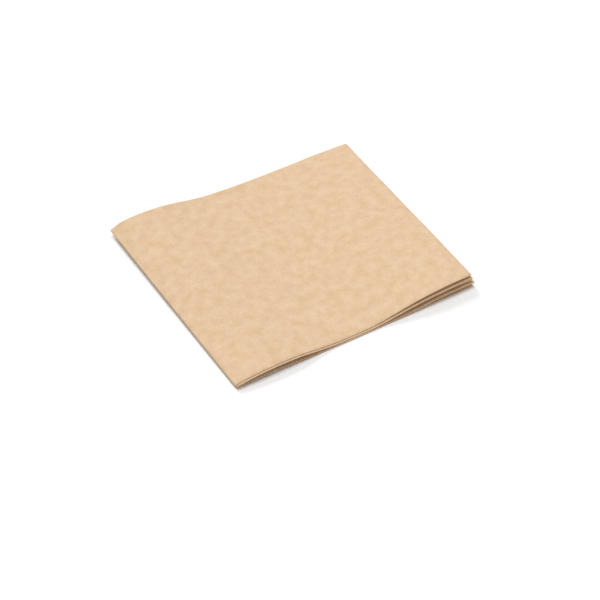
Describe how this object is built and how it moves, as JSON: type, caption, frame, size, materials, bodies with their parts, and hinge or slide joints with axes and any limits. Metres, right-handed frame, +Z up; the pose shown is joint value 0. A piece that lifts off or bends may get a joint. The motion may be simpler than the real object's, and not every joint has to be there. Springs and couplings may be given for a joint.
{
  "type": "paper napkin",
  "caption": "Plain unbleached paper napkin: one rectangular tissue sheet, folded in half twice, lying flat with a gentle wave.",
  "frame": {"origin": "under the middle of the folded napkin, on the plane that it lies on", "axes": "+X from the nested fold to the open edge, +Y from the cut edges at the front to the crease at the back, +Z up"},
  "size_m": [0.165, 0.15, 0.0087],
  "materials": {
    "tissue": "matte"
  },
  "bodies": {
    "root": {"napkin": "tissue"}
  },
  "joints": []
}
